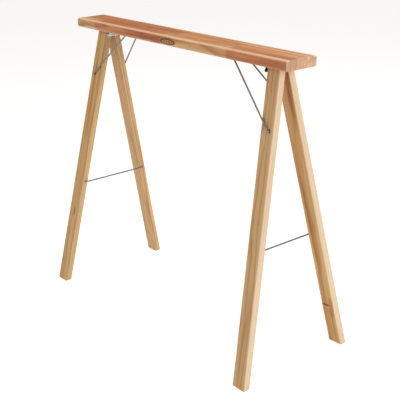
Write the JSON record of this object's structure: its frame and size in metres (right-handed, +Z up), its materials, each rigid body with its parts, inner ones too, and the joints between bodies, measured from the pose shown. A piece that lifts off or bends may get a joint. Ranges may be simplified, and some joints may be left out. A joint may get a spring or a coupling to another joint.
{
  "type": "folding sawhorse",
  "caption": "Folding timber sawhorse: a narrow pine board on splayed pine legs that fold under it on steel hinges, held open by sprung wire braces.",
  "frame": {"origin": "on the floor, at the centre of the stand's footprint box", "axes": "+X along the board to the end whose legs stand nearer it (the right-hand end), +Y across the board to the back, +Z up"},
  "size_m": [0.8414, 0.3534, 0.76],
  "materials": {
    "board_pine": "planed, oiled",
    "leg_pine": "planed, bare",
    "plated_hinge_steel": "zinc plated, dull",
    "blackened_pin": "blackened steel",
    "plated_screws": "zinc plated",
    "plated_wire": "drawn, zinc plated"
  },
  "bodies": {
    "board": {"top_board": "board_pine", "hinge_board_leaf_right": "plated_hinge_steel", "hinge_board_leaf_left": "plated_hinge_steel", "hinge_pin_right": "blackened_pin", "hinge_pin_left": "plated_hinge_steel", "hinge_board_screws_right": "plated_screws", "hinge_board_screws_left": "plated_screws", "brace_saddle_right": "plated_hinge_steel", "brace_saddle_left": "plated_hinge_steel", "saddle_screws_right": "plated_screws", "saddle_screws_left": "plated_screws"},
    "right_legs": {"leg_front_right": "leg_pine", "leg_back_right": "leg_pine", "hinge_leg_leaf_right": "plated_hinge_steel", "hinge_leg_screws_right": "plated_screws", "tie_rod_right": "plated_wire"},
    "left_legs": {"leg_front_left": "leg_pine", "leg_back_left": "leg_pine", "hinge_leg_leaf_left": "plated_hinge_steel", "hinge_leg_screws_left": "plated_screws", "tie_rod_left": "plated_wire"},
    "right_brace": {"brace_wire_right": "plated_wire", "brace_hooks_right": "plated_wire"},
    "left_brace": {"brace_wire_left": "plated_wire", "brace_hooks_left": "plated_wire"}
  },
  "joints": [
    {"name": "right_fold", "type": "hinge", "parent": "board", "child": "right_legs", "pos_m": [0.32023, 0, 0.722], "axis": [0, 1, 0], "range_deg": [0, 94.3]},
    {"name": "left_fold", "type": "hinge", "parent": "board", "child": "left_legs", "pos_m": [-0.30954, 0, 0.722], "axis": [0, -1, 0], "range_deg": [0, 85.5]},
    {"name": "right_brace_swing", "type": "hinge", "parent": "board", "child": "right_brace", "pos_m": [0.21073, 0, 0.7332], "axis": [0, -1, 0], "range_deg": [0, 42.29], "deforming": ["brace_hooks_right"]},
    {"name": "left_brace_swing", "type": "hinge", "parent": "board", "child": "left_brace", "pos_m": [-0.22404, 0, 0.7332], "axis": [0, 1, 0], "range_deg": [0, 43.74], "deforming": ["brace_hooks_left"]}
  ],
  "couplings": [
    {"joint": "right_brace_swing", "follows": "right_fold", "ratio": 0.4484},
    {"joint": "left_brace_swing", "follows": "left_fold", "ratio": 0.5115}
  ]
}
